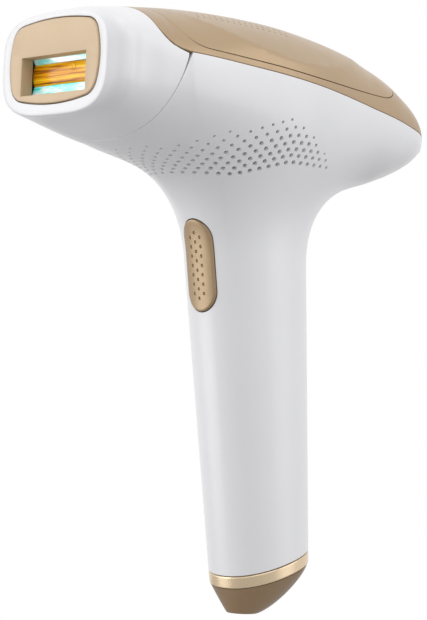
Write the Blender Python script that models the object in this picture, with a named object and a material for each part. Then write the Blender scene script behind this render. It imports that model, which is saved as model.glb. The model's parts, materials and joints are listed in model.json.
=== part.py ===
"""Pistol-shaped IPL hair remover: removable lamp cartridge, vented head, handle with flash button.

Design frame in millimetres: x to the right, y to the rear (light leaves towards -y), z up from the foot.
`metres` moves that frame to the middle of the object's length and scales it to metres.
"""
import math

import bmesh
import bpy
import numpy as np

# ---------------------------------------------------------------- driving dimensions (millimetres)
CENTRE_SHIFT = 15.65        # from the design frame to the middle of the overall length
WALL = 2.2                  # housing wall
GAP = 0.45                  # gap between neighbouring shells
EDGE_SLOPE = 0.6            # how far the inner edge of a shell stands back from the outer edge

# head sections: y, half width, top z, bottom z
HEAD = np.array([
    (-96.5, 26.5, 190.0, 158.0),
    (-94.0, 29.6, 191.3, 157.8),
    (-90.5, 30.7, 192.0, 156.8),
    (-85.5, 30.1, 192.9, 154.8),
    (-76.0, 31.4, 194.5, 151.6),
    (-62.0, 33.0, 196.2, 148.2),
    (-36.0, 31.4, 197.7, 146.3),
    (-8.0, 29.3, 197.0, 143.6),
    (20.0, 26.8, 192.2, 144.2),
    (40.0, 23.2, 185.2, 149.0),
    (54.0, 17.6, 176.0, 155.0),
    (62.0, 10.2, 167.5, 160.2),
])
HEAD_END = 65.5             # rear end of the head
HEAD_BELLY = 0.53           # height of the widest line, as a share of the section height
HEAD_POWER = 2.2
RIM_POWER = 3.4             # squarer section at the front rim

HANDLE_TOP = 170.0
HANDLE_LEAN = math.radians(6.75)
HANDLE_FOOT_Y = 2.1
HANDLE_A = (15.0, 0.0288)   # half width at the foot and its growth per millimetre of height
HANDLE_B = (16.9, 0.0369)   # half depth at the foot and its growth
BLEND = 26.8                # width of the fillet between head and handle

SEAM_Y, SEAM_Z, SEAM_TILT = -66.1, 185.0, 0.345       # cartridge parting plane
NOSE_Y, NOSE_ROUND = -79.5, 13.0                      # front of the gold cover and its corner rounding
PANEL_FRONT, PANEL_REAR, PANEL_ROUND = -71.0, 38.0, 12.0

RIM_Z, BAND_Z, RIM_SLOPE = 17.8, 13.3, 0.31           # slanted planes around the handle foot
BASE_Y, BASE_R = -6.5, 5.2                            # flat base of the bottom cap

PLATE_Z, PLATE_W, PLATE_H, PLATE_POWER = 175.0, 22.4, 12.9, 4.3
PLATE_FRONT, RIM_FRONT, RIM_BACK = -96.8, -96.5, -94.5
WINDOW_Z, WINDOW_W, WINDOW_H = 170.9, 16.2, 6.0
TUNNEL_BACK = -92.4

BUTTON_Z, BUTTON_HALF_W, BUTTON_HALF_L = 119.7, 6.7, 15.4
BUTTON_TILT = math.radians(11.4)
BUTTON_PROUD = 0.7

FAN_Y, FAN_Z0, FAN_Z1 = -36.0, 154.5, 164.5

N_AROUND = 48               # columns round the housing
N_RIM = 48                  # columns round the cartridge

COLOURS = {
    "white_shell": ((0.86, 0.86, 0.87), 0.32, 0.0),
    "gold_cover": ((0.55, 0.42, 0.27), 0.38, 0.35),
    "gold_plate": ((0.68, 0.54, 0.38), 0.45, 0.3),
    "gold_band": ((0.70, 0.56, 0.38), 0.28, 0.6),
    "gold_cap": ((0.42, 0.30, 0.19), 0.36, 0.45),
    "amber_glass": ((0.95, 0.50, 0.05), 0.05, 0.0),
    "mirror_metal": ((0.85, 0.86, 0.88), 0.10, 1.0),
    "clear_quartz": ((0.90, 0.93, 0.95), 0.03, 0.0),
    "tungsten": ((0.30, 0.30, 0.32), 0.35, 1.0),
    "black_plastic": ((0.03, 0.03, 0.035), 0.5, 0.0),
    "grey_plastic": ((0.35, 0.36, 0.38), 0.5, 0.0),
    "board_green": ((0.03, 0.22, 0.10), 0.45, 0.0),
    "brass_pin": ((0.75, 0.56, 0.22), 0.25, 1.0),
    "spring_steel": ((0.62, 0.63, 0.65), 0.25, 1.0),
    "seal_rubber": ((0.02, 0.02, 0.02), 0.8, 0.0),
    "can_blue": ((0.05, 0.09, 0.25), 0.4, 0.0),
}


# ---------------------------------------------------------------- outer form
def spline(x, xs, ys):
    """Smooth curve through the stations (xs, ys)."""
    slope = np.gradient(ys, xs)
    i = np.clip(np.searchsorted(xs, x) - 1, 0, len(xs) - 2)
    h = xs[i + 1] - xs[i]
    t = np.clip((x - xs[i]) / h, 0.0, 1.0)
    a = (2 * t**3 - 3 * t**2 + 1) * ys[i] + (t**3 - 2 * t**2 + t) * h * slope[i]
    return a + (3 * t**2 - 2 * t**3) * ys[i + 1] + (t**3 - t**2) * h * slope[i + 1]


def head_distance(p):
    """Approximate distance to the head, a row of superellipse sections along y."""
    x, y, z = p[..., 0], p[..., 1], p[..., 2]
    yc = np.clip(y, HEAD[0, 0], HEAD[-1, 0])
    half, top, bottom = [spline(yc, HEAD[:, 0], HEAD[:, k]) for k in (1, 2, 3)]
    mid = bottom + HEAD_BELLY * (top - bottom)
    u = np.clip((y - HEAD[-1, 0]) / (HEAD_END - HEAD[-1, 0]), 0.0, 0.999)
    close = np.sqrt(1.0 - u * u)
    tall = np.where(z >= mid, top - mid, mid - bottom) * close
    half = half * close
    power = HEAD_POWER + (RIM_POWER - HEAD_POWER) * np.clip((-72.0 - y) / 24.5, 0.0, 1.0)
    q = ((np.abs(x) / half)**power + (np.abs(z - mid) / tall)**power)**(1.0 / power)
    rho = np.sqrt(x * x + (z - mid)**2) + 1e-9
    return np.maximum(rho * (1.0 - 1.0 / np.maximum(q, 1e-6)), y - HEAD_END)


def handle_centre(z):
    """y of the leaning handle axis at height z."""
    return HANDLE_FOOT_Y - z * math.tan(HANDLE_LEAN)


def handle_distance(p):
    """Approximate distance to the handle, a leaning column of superellipse sections."""
    x, y, z = p[..., 0], p[..., 1] - handle_centre(p[..., 2]), p[..., 2]
    zc = np.clip(z, -10.0, HANDLE_TOP)
    a = HANDLE_A[0] + HANDLE_A[1] * zc
    b = HANDLE_B[0] + HANDLE_B[1] * zc
    q = ((np.abs(x) / a)**2.2 + (np.abs(y) / b)**2.2)**(1.0 / 2.2)
    rho = np.sqrt(x * x + y * y) + 1e-9
    return np.maximum(rho * (1.0 - 1.0 / np.maximum(q, 1e-6)), z - HANDLE_TOP)


def form(p):
    """Outer form: head and handle joined by a wide fillet; negative inside."""
    d1, d2 = head_distance(p), handle_distance(p)
    h = np.maximum(BLEND - np.abs(d1 - d2), 0.0) / BLEND
    return np.minimum(d1, d2) - h * h * BLEND * 0.25


def normal(p):
    """Outward unit normal of the form."""
    e = 0.15
    steps = np.eye(3) * e
    g = np.stack([form(p + s) - form(p - s) for s in steps], -1)
    return g / np.linalg.norm(g, axis=-1, keepdims=True)


def smooth_max(a, b, k):
    h = np.maximum(k - np.abs(a - b), 0.0) / k
    return np.maximum(a, b) + h * h * k * 0.25


def cover_line(y):
    """Side-view height of the gold cover's lower edge."""
    u = y + 20.0
    return 176.3 - 0.085 * u - 0.0006 * u * u


def outside_cover(p):
    """Positive below or in front of the gold cover, negative within its region."""
    return smooth_max(NOSE_Y - p[..., 1], cover_line(p[..., 1]) - p[..., 2], NOSE_ROUND)


def outside_panel(p):
    """Positive outside the top panel's region."""
    y, z = p[..., 1], p[..., 2]
    lift = 2.2 + 0.0014 * np.maximum(y + 23.0, 0.0)**2
    ends = np.maximum(PANEL_FRONT - y, y - PANEL_REAR)
    return smooth_max(ends, cover_line(y) + lift - z, PANEL_ROUND)


def behind_seam(p):
    """Positive on the housing side of the cartridge parting plane."""
    return p[..., 1] - (SEAM_Y - SEAM_TILT * (SEAM_Z - p[..., 2]))


def above_plane(p, height):
    """Positive above the slanted plane that meets the foot axis at the given height."""
    return p[..., 2] - height - RIM_SLOPE * p[..., 1]


# ---------------------------------------------------------------- curves on the form
def trace(centre, axis, spokes, start, stop, rising=True, step=1.0, count=420):
    """Follow the form in half planes round an axis, from the start points until stop turns positive.

    Returns one polyline per spoke.
    """
    p = start.copy()
    paths = [[q.copy()] for q in p]
    alive = np.ones(len(p), bool)
    last = stop(p)
    for _ in range(count):
        n = normal(p)
        g_r = np.sum(n * spokes, -1)
        g_h = n @ axis
        size = np.sqrt(g_r**2 + g_h**2) + 1e-9
        sign = 1.0 if rising else -1.0
        move = (-g_h / size)[:, None] * spokes + (g_r / size)[:, None] * axis
        q = p + move * sign * step
        for _ in range(3):
            n = normal(q)
            g_r = np.sum(n * spokes, -1)
            g_h = n @ axis
            flat = g_r[:, None] * spokes + g_h[:, None] * axis
            q = q - flat * (form(q) / np.sum(flat * flat, -1))[:, None]
        now = stop(q)
        for i in np.nonzero(alive)[0]:
            if now[i] > 0.0:
                f = last[i] / (last[i] - now[i]) if last[i] < 0.0 else 0.0
                paths[i].append(p[i] + (q[i] - p[i]) * f)
                alive[i] = False
            else:
                paths[i].append(q[i].copy())
        p, last = q, now
        if not alive.any():
            break
    return [np.array(path) for path in paths]


def resample(path, fractions):
    """Points at the given fractions of the path's length."""
    arc = np.concatenate([[0.0], np.cumsum(np.linalg.norm(np.diff(path, axis=0), axis=1))])
    want = np.asarray(fractions) * arc[-1]
    return np.stack([np.interp(want, arc, path[:, k]) for k in range(3)], -1)


def trim(path, test):
    """Drop the start of a path up to where the test turns positive."""
    value = test(path)
    i = int(np.argmax(value > 0.0))
    f = value[i - 1] / (value[i - 1] - value[i])
    return np.vstack([path[i - 1] + (path[i] - path[i - 1]) * f, path[i:]])


def radial_hit(centre, spokes, reach=60.0):
    """Where rays from the centre points along the spokes leave the form."""
    lo = np.zeros(len(spokes))
    hi = np.full(len(spokes), reach)
    for _ in range(40):
        mid = (lo + hi) / 2
        inside = form(centre + spokes * mid[:, None]) < 0.0
        lo = np.where(inside, mid, lo)
        hi = np.where(inside, hi, mid)
    return centre + spokes * lo[:, None]


HANDLE_AXIS = np.array([0.0, -math.sin(HANDLE_LEAN), math.cos(HANDLE_LEAN)])
HANDLE_FRONT = np.array([0.0, -math.cos(HANDLE_LEAN), -math.sin(HANDLE_LEAN)])
X_AXIS, Y_AXIS, Z_AXIS = np.eye(3)


def handle_spokes(theta):
    """Unit vectors across the handle axis; angle 0 points to the front, 90 degrees to +x."""
    return np.sin(theta)[:, None] * X_AXIS + np.cos(theta)[:, None] * HANDLE_FRONT


def housing_columns(theta, gap=GAP / 2):
    """Curves up the handle and out over the belly to the cover edge or the cartridge seam."""
    spokes = handle_spokes(theta)
    foot = np.array([0.0, handle_centre(4.0), 4.0])
    start = radial_hit(np.repeat(foot[None], len(theta), 0), spokes)

    def stop(p):
        return np.maximum(gap - outside_cover(p), gap - behind_seam(p))

    paths = trace(foot, HANDLE_AXIS, spokes, start, stop)
    return [trim(path, lambda p: above_plane(p, RIM_Z + gap)) for path in paths]


def cartridge_columns(phi, gap=GAP / 2):
    """Curves from the front rim back to the cartridge seam or the nose of the gold cover."""
    spokes = np.sin(phi)[:, None] * X_AXIS + np.cos(phi)[:, None] * Z_AXIS
    hub = np.array([0.0, RIM_FRONT, 174.0])
    start = radial_hit(np.repeat(hub[None], len(phi), 0), spokes)

    def stop(p):
        return np.maximum(gap - outside_cover(p), behind_seam(p) + gap)

    return trace(hub, Y_AXIS, spokes, start, stop)


def cover_columns(alpha, gap=GAP):
    """Curves from the crown of the head down to the lower edge of the gold cover."""
    spokes = np.sin(alpha)[:, None] * X_AXIS - np.cos(alpha)[:, None] * Y_AXIS
    hub = np.array([0.0, -20.0, 175.0])
    crown = radial_hit(hub[None], Z_AXIS[None])[0]
    start = np.repeat(crown[None], len(alpha), 0) + spokes * 1.0
    return crown, trace(hub, Z_AXIS, spokes, start, lambda p: outside_cover(p) + gap, rising=False)


def housing_angles(count):
    """Column angles, closer together where the head is long."""
    t = np.linspace(0.0, 2 * math.pi, count, endpoint=False)
    return np.arctan2(np.sin(t) * 0.8, np.cos(t))


def cover_angles():
    """Plan angles of the cover columns, shared with the ends of the columns below."""
    ends = np.array([path[-1] for path in housing_columns(housing_angles(N_AROUND))])
    side = ends[ends[:, 1] > SEAM_Y - 1.0]
    front = np.linspace(-1.0, 1.0, 13)
    front = np.stack([front * 31.5, -79.5 + 9.0 * np.abs(front)**6, front * 0.0], -1)
    both = np.vstack([side, front])
    return np.sort(np.arctan2(both[:, 0], -(both[:, 1] + 20.0)))


# ---------------------------------------------------------------- mesh builders
def metres(points):
    return (np.asarray(points, float) + (0.0, CENTRE_SHIFT, 0.0)) * 0.001


def material(name):
    found = bpy.data.materials.get(name)
    if found:
        return found
    colour, rough, metal = COLOURS[name]
    made = bpy.data.materials.new(name)
    made.use_nodes = True
    shader = made.node_tree.nodes["Principled BSDF"]
    shader.inputs["Base Color"].default_value = (*colour, 1.0)
    shader.inputs["Roughness"].default_value = rough
    shader.inputs["Metallic"].default_value = metal
    return made


def add(name, points, faces, colour, origin=(0.0, 0.0, 0.0)):
    """Make an object from design-frame points, with its origin at the given design-frame point."""
    home = metres(origin)
    mesh = bpy.data.meshes.new(name)
    mesh.from_pydata([tuple(v) for v in metres(points) - home], [], [tuple(f) for f in faces])
    mesh.materials.append(material(colour))
    bm = bmesh.new()
    bm.from_mesh(mesh)
    bmesh.ops.recalc_face_normals(bm, faces=bm.faces)
    if bm.calc_volume(signed=True) < 0.0:
        bmesh.ops.reverse_faces(bm, faces=bm.faces)
    bm.to_mesh(mesh)
    bm.free()
    ob = bpy.data.objects.new(name, mesh)
    ob.location = home
    bpy.context.scene.collection.objects.link(ob)
    return ob


def bands(rows, count, wrap_rows):
    """Quads between consecutive loops of `count` points; the loops themselves are closed."""
    faces = []
    for r in range(rows if wrap_rows else rows - 1):
        s = (r + 1) % rows
        for i in range(count):
            j = (i + 1) % count
            faces.append((r * count + i, r * count + j, s * count + j, s * count + i))
    return faces


def loft(name, loops, colour, origin=(0.0, 0.0, 0.0)):
    """Closed solid through a list of loops with a flat cap at each end."""
    loops = [np.asarray(loop) for loop in loops]
    n = len(loops[0])
    faces = bands(len(loops), n, False)
    faces.append(tuple(range(n)))
    faces.append(tuple(range((len(loops) - 1) * n, len(loops) * n)))
    return add(name, np.vstack(loops), faces, colour, origin)


def ring(name, loops, colour, origin=(0.0, 0.0, 0.0)):
    """Closed ring-shaped solid: the loops follow each other round the ring's section."""
    loops = [np.asarray(loop) for loop in loops]
    return add(name, np.vstack(loops), bands(len(loops), len(loops[0]), True), colour, origin)


def box(name, low, high, colour):
    (x0, y0, z0), (x1, y1, z1) = low, high
    flat = [(x0, y0), (x1, y0), (x1, y1), (x0, y1)]
    return loft(name, [[(x, y, z) for x, y in flat] for z in (z0, z1)], colour)


def disc(centre, u, v, radius, count=16):
    t = np.linspace(0.0, 2 * math.pi, count, endpoint=False)
    return np.asarray(centre) + radius * (np.cos(t)[:, None] * u + np.sin(t)[:, None] * v)


def rod(name, start, end, radius, colour, count=16):
    """Round bar between two points."""
    start, end = np.asarray(start, float), np.asarray(end, float)
    w = (end - start) / np.linalg.norm(end - start)
    u = np.cross(w, X_AXIS if abs(w[0]) < 0.8 else Z_AXIS)
    u /= np.linalg.norm(u)
    v = np.cross(w, u)
    return loft(name, [disc(start, u, v, radius, count), disc(end, u, v, radius, count)], colour)


def cut(ob, cutter):
    """Subtract the cutter object and remove it."""
    cutter.hide_render = True
    cutter.display_type = "WIRE"
    mod = ob.modifiers.new("cut", "BOOLEAN")
    mod.operation = "DIFFERENCE"
    mod.solver = "EXACT"
    mod.object = cutter
    graph = bpy.context.evaluated_depsgraph_get()
    made = bpy.data.meshes.new_from_object(ob.evaluated_get(graph))
    ob.modifiers.clear()
    ob.data = made
    bpy.data.objects.remove(cutter)
    return ob


def superellipse(centre, half_x, half_z, power, angles, y):
    """Outline in the plane of constant y, by polar angle round its own centre."""
    c, s = np.cos(angles), np.sin(angles)
    r = ((np.abs(c) / half_x)**power + (np.abs(s) / half_z)**power)**(-1.0 / power)
    return np.stack([r * c, np.full(len(angles), y), centre + r * s], -1)


# ---------------------------------------------------------------- shells
def shell_from_columns(name, outer, colour):
    """Shell one wall thick under a grid of outer points (rows of closed loops); its edges slope back inside."""
    inner = [row - normal(row) * WALL for row in outer]
    for edge, neighbour in ((0, 1), (-1, -2)):
        back = outer[neighbour] - outer[edge]
        inner[edge] = inner[edge] + back / np.linalg.norm(back, axis=1, keepdims=True) * EDGE_SLOPE
    return ring(name, list(outer) + inner[::-1], colour)


def vent_places():
    """Centres and normals of the belly vent holes, in staggered rows that follow the handle."""
    theta = np.radians(np.arange(-112.0, 113.0, 8.0))
    places = []
    for row in range(5):
        angle = theta + math.radians(4.0) * (row % 2)
        for a, path in zip(angle, housing_columns(angle)):
            turn = abs(math.degrees(a))
            low = 144.3 + 5.6 * np.clip((turn - 40.0) / 45.0, 0.0, 1.0)
            low_arc = trim(path, lambda p: p[..., 2] - low)
            arc = np.concatenate([[0.0], np.cumsum(np.linalg.norm(np.diff(low_arc, axis=0), axis=1))])
            reach = np.interp(turn, (0.0, 50.0, 90.0, 105.0, 117.0), (21.0, 17.5, 14.0, 9.0, 3.0))
            s = 0.4 + row * 4.4
            if s < reach and s < arc[-1] - 4.0:
                places.append([np.interp(s, arc, low_arc[:, k]) for k in range(3)])
    return np.array(places)


def vent_cutter():
    centres = vent_places()
    out = normal(centres)
    points, faces = [], []
    for c, n in zip(centres, out):
        u = np.cross(n, Y_AXIS)
        u /= np.linalg.norm(u)
        v = np.cross(n, u)
        base = len(points)
        for depth in (2.0, -WALL - 2.0):
            points.extend(disc(c + n * depth, u, v, 0.85, 5))
        faces.extend((base + i, base + (i + 1) % 5, base + 5 + (i + 1) % 5, base + 5 + i) for i in range(5))
        faces.append(tuple(range(base, base + 5)))
        faces.append(tuple(range(base + 5, base + 10)))
    return add("vent_cutter", points, faces, "black_plastic")


def main_housing():
    rows = np.concatenate([np.linspace(0.0, 0.55, 5)[:-1], np.linspace(0.55, 1.0, 11)])
    columns = np.array([resample(path, rows) for path in housing_columns(housing_angles(N_AROUND))])
    ob = shell_from_columns("main_housing", columns.transpose(1, 0, 2), "white_shell")
    cut(ob, button_prism("button_hole", BUTTON_HALF_W + 0.35, BUTTON_HALF_L + 0.35, -8.0, 6.0))
    cut(ob, vent_cutter())
    return ob


def top_shells():
    crown, paths = cover_columns(cover_angles())
    outer, inner = [], []
    for path in paths:
        split = int(np.argmax(outside_panel(path) > 0.0))
        value = outside_panel(path)
        f = value[split - 1] / (value[split - 1] - value[split])
        edge = path[split - 1] + (path[split] - path[split - 1]) * f
        panel = np.vstack([path[:split], edge])
        length = np.sum(np.linalg.norm(np.diff(panel, axis=0), axis=1))
        inner.append(resample(panel, np.linspace(0.12, 1.0 - GAP / 2 / length, 6)))
        frame = np.vstack([edge, path[split:]])
        length = np.sum(np.linalg.norm(np.diff(frame, axis=0), axis=1))
        outer.append(resample(frame, np.linspace(GAP / 2 / length, 1.0, 4)))
    outer = np.array(outer).transpose(1, 0, 2)
    inner = np.array(inner).transpose(1, 0, 2)
    shell_from_columns("top_cover", outer, "gold_cover")
    upper = [row for row in inner]
    lower = [row - normal(row) * 1.8 for row in inner]
    loft("top_panel", upper + lower[::-1], "gold_cover")


def cartridge_shell():
    phi = np.linspace(0.0, 2 * math.pi, N_RIM, endpoint=False)
    phi = np.arctan2(np.sin(phi) * 1.15, np.cos(phi))
    rows = np.concatenate([[0.0, 0.03, 0.08], np.linspace(0.18, 1.0, 6)])
    columns = np.array([resample(path, rows) for path in cartridge_columns(phi)])
    outer = list(columns.transpose(1, 0, 2))
    inner = [row - normal(row) * 1.9 for row in outer[2:]]
    angles = math.pi / 2 - phi
    hole_front = superellipse(PLATE_Z, PLATE_W + 0.35, PLATE_H + 0.35, PLATE_POWER, angles, RIM_FRONT)
    hole_back = superellipse(PLATE_Z, PLATE_W + 0.35, PLATE_H + 0.35, PLATE_POWER, angles, RIM_BACK)
    ring("cartridge_shell", [hole_back, hole_front] + outer + inner[::-1], "white_shell")


# ---------------------------------------------------------------- handle foot
def foot_loop(height, inset, theta):
    """Loop on the handle surface, cut by the slanted plane at the given height and inset from the skin."""
    spokes = handle_spokes(theta)
    foot = np.array([0.0, handle_centre(2.0), 2.0])
    start = radial_hit(np.repeat(foot[None], len(theta), 0), spokes)
    paths = trace(foot, HANDLE_AXIS, spokes, start, lambda p: above_plane(p, height))
    loop = np.array([path[-1] for path in paths])
    inward = loop - np.array([0.0, handle_centre(height), 0.0]) * (1, 1, 0)
    inward[:, 2] = 0.0
    inward /= np.linalg.norm(inward, axis=1, keepdims=True)
    moved = loop - inward * inset
    moved[:, 2] += RIM_SLOPE * (moved[:, 1] - loop[:, 1])
    return moved


def handle_foot():
    theta = np.linspace(0.0, 2 * math.pi, 32, endpoint=False)
    high, low = RIM_Z - 0.15, BAND_Z + 0.15
    ring("handle_band", [foot_loop(high, 2.3, theta), foot_loop(high, 0.35, theta),
                         foot_loop(high - 0.5, 0.0, theta), foot_loop(low + 0.5, 0.0, theta),
                         foot_loop(low, 0.35, theta), foot_loop(low, 2.3, theta)], "gold_band")
    rim = foot_loop(BAND_Z - 0.15, 0.35, theta)
    base = np.stack([BASE_R * np.sin(theta), BASE_Y - BASE_R * np.cos(theta), 0.0 * theta], -1)
    power = 1.02 + 0.33 * (1 - np.cos(theta)) / 2
    loops = []
    for t in (0.0, 0.18, 0.36, 0.54, 0.70, 0.84, 1.0):
        side = math.cos(t * math.pi / 2)
        drop = math.sin(t * math.pi / 2)
        loop = base + (rim - base) * (max(side, 0.0)**(2.0 / power))[:, None]
        loop[:, 2] = rim[:, 2] * (1.0 - drop**(2.0 / power))
        loops.append(loop)
    centre = np.array([0.0, BASE_Y, 0.0])
    bore = centre + (base - centre) * (3.75 / BASE_R)
    inner = []
    for loop in loops[:-1]:
        inward = centre + (0.0, 0.0, 14.0) - loop
        inward /= np.linalg.norm(inward, axis=1, keepdims=True)
        inner.append(loop + inward * 2.0 + (0.0, 0.0, 0.4))
    inner[0] = foot_loop(BAND_Z - 0.15, 2.5, theta)
    ring("bottom_cap", loops + [bore, bore + (0.0, 0.0, 2.4)] + inner[::-1], "gold_cap")


def power_inlet():
    u, v = X_AXIS, Y_AXIS
    at = np.array([0.0, BASE_Y, 0.0])
    loops = [disc(at + Z_AXIS * z, u, v, r) for z, r in ((12.0, 3.4), (0.5, 3.4), (0.5, 2.8), (9.3, 2.8))]
    loft("dc_jack", loops, "black_plastic")
    rod("dc_pin", at + Z_AXIS * 2.2, at + Z_AXIS * 9.0, 0.75, "brass_pin", 10)
    box("power_board", (-8.0, -3.0, 21.0), (8.0, -1.4, 46.0), "board_green")


# ---------------------------------------------------------------- flash button
BUTTON_OUT = np.array([0.0, -math.cos(BUTTON_TILT), -math.sin(BUTTON_TILT)])
BUTTON_UP = np.array([0.0, -math.sin(BUTTON_TILT), math.cos(BUTTON_TILT)])


def button_centre():
    """Point of the handle skin behind the middle of the button."""
    inside = np.array([[0.0, handle_centre(BUTTON_Z), BUTTON_Z]])
    return radial_hit(inside, BUTTON_OUT[None])[0]


def stadium(half_w, half_l, depth, count=32):
    """Stadium loop in the button's plane, the given distance out of the handle skin."""
    t = np.linspace(0.0, 2 * math.pi, count, endpoint=False)
    straight = half_l - half_w
    u = half_w * np.sin(t)
    v = half_w * np.cos(t) + straight * np.sign(np.cos(t)) * np.minimum(1.0, np.abs(np.cos(t)) * 4.0)
    return button_centre() + u[:, None] * X_AXIS + v[:, None] * BUTTON_UP + depth * BUTTON_OUT


def drape(loop, proud):
    """Drop a loop onto the handle skin along the button direction and lift it by the given height."""
    deep = loop - BUTTON_OUT * 12.0
    return radial_hit(deep, np.repeat(BUTTON_OUT[None], len(loop), 0), 30.0) + BUTTON_OUT * proud


def button_prism(name, half_w, half_l, deep, out):
    return loft(name, [stadium(half_w, half_l, deep), stadium(half_w, half_l, out)], "black_plastic")


def dimple_cutter():
    points, faces = [], []
    spots = [(0.0, 3.1 * (k - 3.5)) for k in range(8)]
    spots += [(side * 2.3, 3.1 * (k - 3.0)) for side in (-1, 1) for k in range(7)]
    for u, v in spots:
        at = drape((button_centre() + u * X_AXIS + v * BUTTON_UP)[None], BUTTON_PROUD)[0]
        base = len(points)
        points.extend(disc(at + BUTTON_OUT * 0.8, X_AXIS, BUTTON_UP, 0.75, 6))
        points.extend(disc(at - BUTTON_OUT * 0.35, X_AXIS, BUTTON_UP, 0.4, 6))
        faces.extend((base + i, base + (i + 1) % 6, base + 6 + (i + 1) % 6, base + 6 + i) for i in range(6))
        faces.append(tuple(range(base, base + 6)))
        faces.append(tuple(range(base + 6, base + 12)))
    return add("dimple_cutter", points, faces, "black_plastic")


def flash_button():
    w, l = BUTTON_HALF_W, BUTTON_HALF_L
    centre = button_centre()
    skin = [drape(stadium(w * k, l - w + w * k, 0.0), h)
            for k, h in ((1.0, 0.0), (0.97, 0.4), (0.88, BUTTON_PROUD), (0.5, BUTTON_PROUD))]
    back = stadium(w, l, -3.6)
    ob = loft("flash_button", [back] + skin, "gold_cover", origin=centre)
    cut(ob, dimple_cutter())
    seal = [stadium(w + 2.2, l + 2.2, -5.6), stadium(w + 2.2, l + 2.2, -4.9),
            stadium(w - 2.0, l - 2.0, -4.9), stadium(w - 2.0, l - 2.0, -5.6)]
    ring("button_seal", seal, "seal_rubber")
    slab("button_switch", centre, (3.0, 3.0), (-8.2, -5.0), "black_plastic")
    slab("button_board", centre, (6.5, 17.0), (-10.1, -8.5), "board_green")


def slab(name, centre, half, depth, colour):
    """Box aligned with the button: half sizes across and along, from one depth to the other."""
    corners = [(-1, -1), (1, -1), (1, 1), (-1, 1)]
    loops = []
    for d in depth:
        loops.append([centre + a * half[0] * X_AXIS + b * half[1] * BUTTON_UP + d * BUTTON_OUT
                      for a, b in corners])
    loft(name, loops, colour)


# ---------------------------------------------------------------- lamp cartridge
def window_rectangle(grow, y, per_side=(12, 5)):
    """Rectangle of the light window with evenly spaced points, starting at a corner."""
    w, h = WINDOW_W + grow, WINDOW_H + grow
    corners = [(w, h), (-w, h), (-w, -h), (w, -h)]
    points = []
    for k in range(4):
        a, b = corners[k], corners[(k + 1) % 4]
        n = per_side[k % 2]
        points.extend((a[0] + (b[0] - a[0]) * i / n, a[1] + (b[1] - a[1]) * i / n) for i in range(n))
    return np.array([(x, y, WINDOW_Z + z) for x, z in points])


def contact_plate():
    window = window_rectangle(0.0, 0.0)
    angles = np.arctan2(window[:, 2] - WINDOW_Z, window[:, 0])

    def outline(half_w, half_h, y):
        return superellipse(PLATE_Z, half_w, half_h, PLATE_POWER, angles, y)

    loops = [window_rectangle(0.0, PLATE_FRONT),
             outline(PLATE_W - 0.3, PLATE_H - 0.3, PLATE_FRONT),
             outline(PLATE_W, PLATE_H, PLATE_FRONT + 0.3),
             outline(PLATE_W, PLATE_H, RIM_BACK + 0.3),
             outline(PLATE_W + 1.0, PLATE_H - 0.4, RIM_BACK + 0.3),
             outline(PLATE_W + 1.0, PLATE_H - 0.4, RIM_BACK + 1.2),
             window_rectangle(1.2, RIM_BACK + 1.2),
             window_rectangle(1.2, TUNNEL_BACK),
             window_rectangle(0.0, TUNNEL_BACK)]
    ring("contact_plate", loops, "gold_plate", origin=(0.0, PLATE_FRONT, WINDOW_Z))


def lamp_cartridge():
    z = WINDOW_Z
    box("filter_glass", (-17.6, -91.3, z - 7.4), (17.6, -90.0, z + 7.4), "amber_glass")
    cup = [window_rectangle(1.4, -79.0), window_rectangle(1.4, -89.7),
           window_rectangle(0.0, -89.7), window_rectangle(-1.5, -80.6)]
    loft("lamp_reflector", cup, "mirror_metal")
    rod("xenon_lamp", (-11.0, -85.4, z), (11.0, -85.4, z), 2.6, "clear_quartz")
    for side, sign in (("left", -1), ("right", 1)):
        rod("lamp_electrode_" + side, (sign * 11.3, -85.4, z), (sign * 14.0, -85.4, z), 1.4, "tungsten", 12)
        rod("contact_pin_" + side, (sign * 12.0, -65.7, z), (sign * 12.0, -59.0, z), 1.0, "brass_pin", 10)
        coil("plate_spring_" + side, (sign * 21.4, -91.9, z + 3.0), 7.4, 1.5, 0.4, 5)
    window = window_rectangle(0.0, 0.0)
    angles = np.arctan2(window[:, 2] - z, window[:, 0])
    spokes = np.cos(angles)[:, None] * X_AXIS + np.sin(angles)[:, None] * Z_AXIS

    def skin(y, inset):
        hub = np.repeat(np.array([[0.0, y, 174.0]]), len(angles), 0)
        hit = radial_hit(hub, spokes)
        return hub + (hit - hub) * (1.0 - inset / np.linalg.norm(hit - hub, axis=1))[:, None]

    loops = [window_rectangle(1.8, -78.6), window_rectangle(1.8, -84.0), skin(-84.0, 2.8), skin(-82.0, 2.8),
             superellipse(z + 1.0, 23.0, 13.0, 3.0, angles, -82.0),
             superellipse(z + 1.0, 23.0, 13.0, 3.0, angles, -74.0),
             superellipse(z + 1.0, 19.0, 10.0, 3.0, angles, -66.0)]
    loft("cartridge_chassis", loops, "grey_plastic")


def coil(name, start, length, radius, wire, turns):
    """Compression spring along y."""
    count = turns * 8 + 1
    loops = []
    for k in range(count):
        a = 2 * math.pi * k / 8
        out = math.cos(a) * X_AXIS + math.sin(a) * Z_AXIS
        at = np.asarray(start) + out * radius + Y_AXIS * length * k / (count - 1)
        loops.append([at + wire * (math.cos(b) * out + math.sin(b) * Y_AXIS)
                      for b in (0.0, math.pi / 2, math.pi, 3 * math.pi / 2)])
    loft(name, loops, "spring_steel")


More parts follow.
